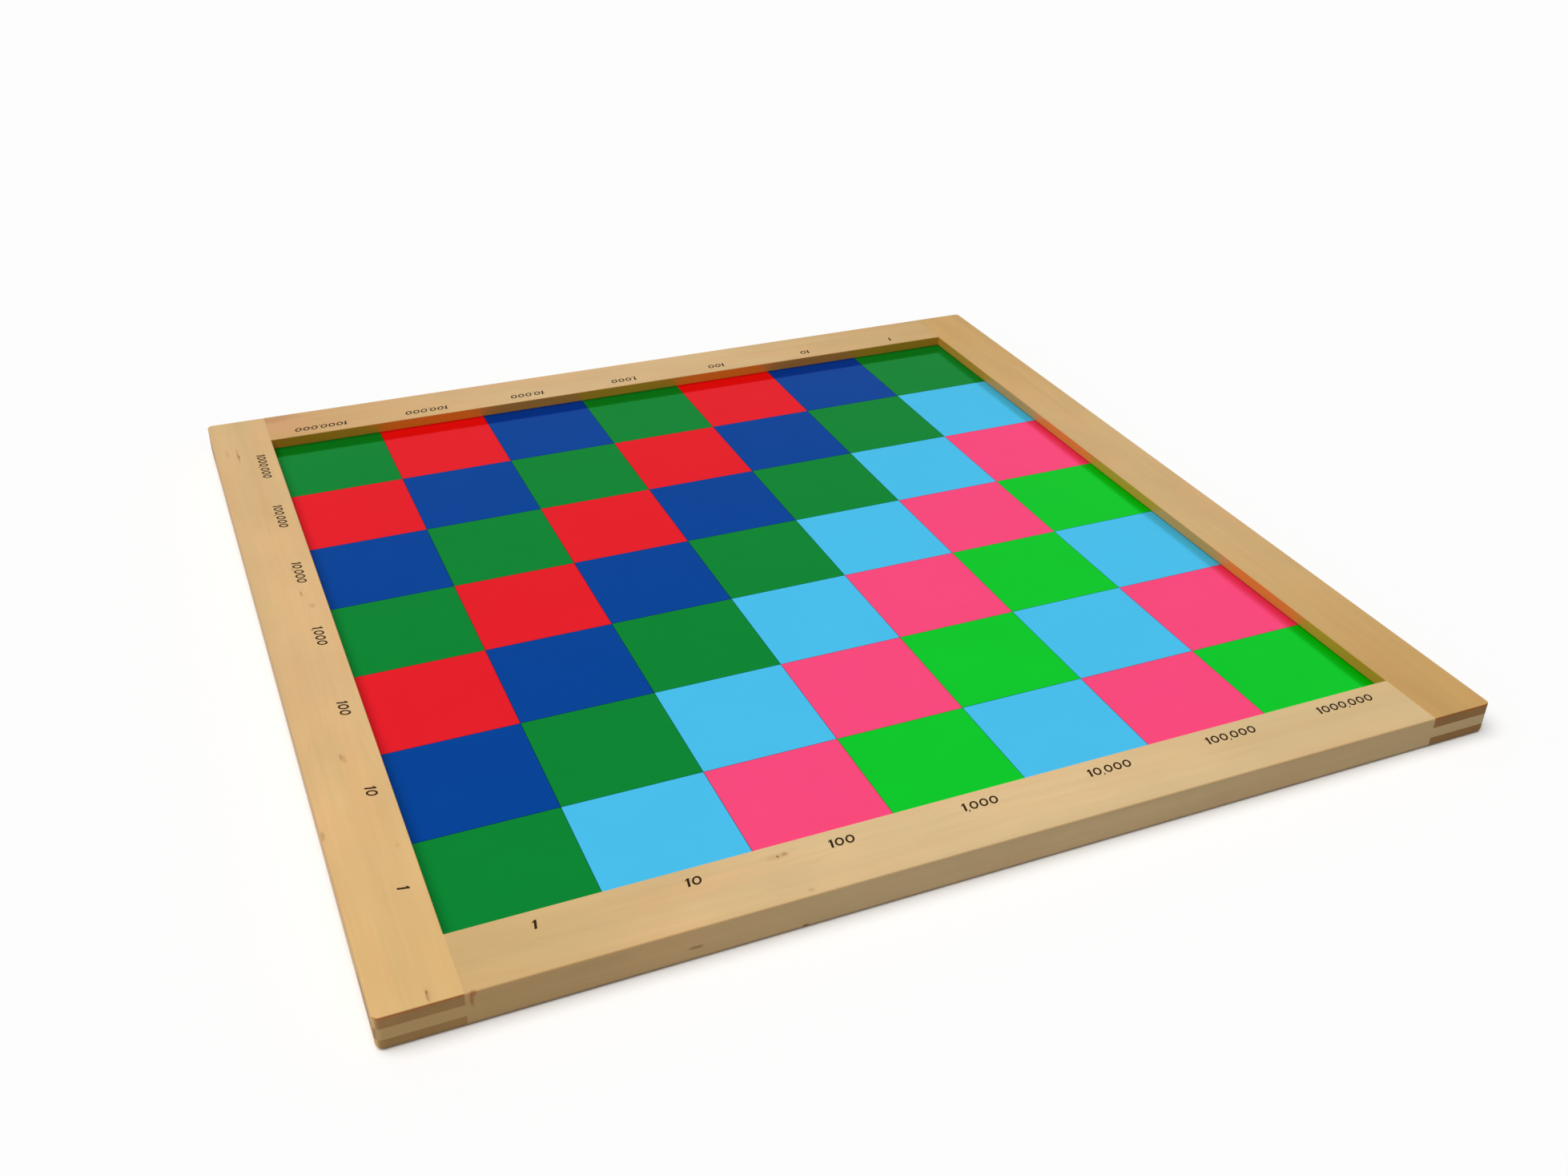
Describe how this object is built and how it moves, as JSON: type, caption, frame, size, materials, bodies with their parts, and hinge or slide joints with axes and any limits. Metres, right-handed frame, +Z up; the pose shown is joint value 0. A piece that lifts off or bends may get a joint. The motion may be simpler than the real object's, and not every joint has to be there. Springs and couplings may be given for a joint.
{
  "type": "decimal multiplication board",
  "caption": "Flat square board of printed colour squares on a panel, set in a wooden frame with bridle-jointed corners.",
  "frame": {"origin": "on the surface that the board lies on, under the middle of the board", "axes": "+Z up out of the printed face, +X to the right along the front rail, +Y away from the front rail"},
  "size_m": [0.562, 0.562, 0.018],
  "materials": {
    "left_stile_wood": "pale beech, fine grain, satin lacquer",
    "right_stile_wood": "pale beech, fine grain, satin lacquer",
    "front_rail_wood": "pale beech, fine grain, satin lacquer",
    "back_rail_wood": "pale beech, fine grain, satin lacquer",
    "panel_board": "plain fibreboard",
    "dark_green_print": "glossy printed film",
    "dark_blue_print": "glossy printed film",
    "red_print": "glossy printed film",
    "light_blue_print": "glossy printed film",
    "pink_print": "glossy printed film",
    "light_green_print": "glossy printed film",
    "numeral_print": "black screen print"
  },
  "bodies": {
    "root": {"left_stile": "left_stile_wood", "right_stile": "right_stile_wood", "front_rail": "front_rail_wood", "back_rail": "back_rail_wood", "panel": "panel_board", "dark_green_squares": "dark_green_print", "dark_blue_squares": "dark_blue_print", "red_squares": "red_print", "light_blue_squares": "light_blue_print", "pink_squares": "pink_print", "light_green_squares": "light_green_print"}
  },
  "joints": []
}
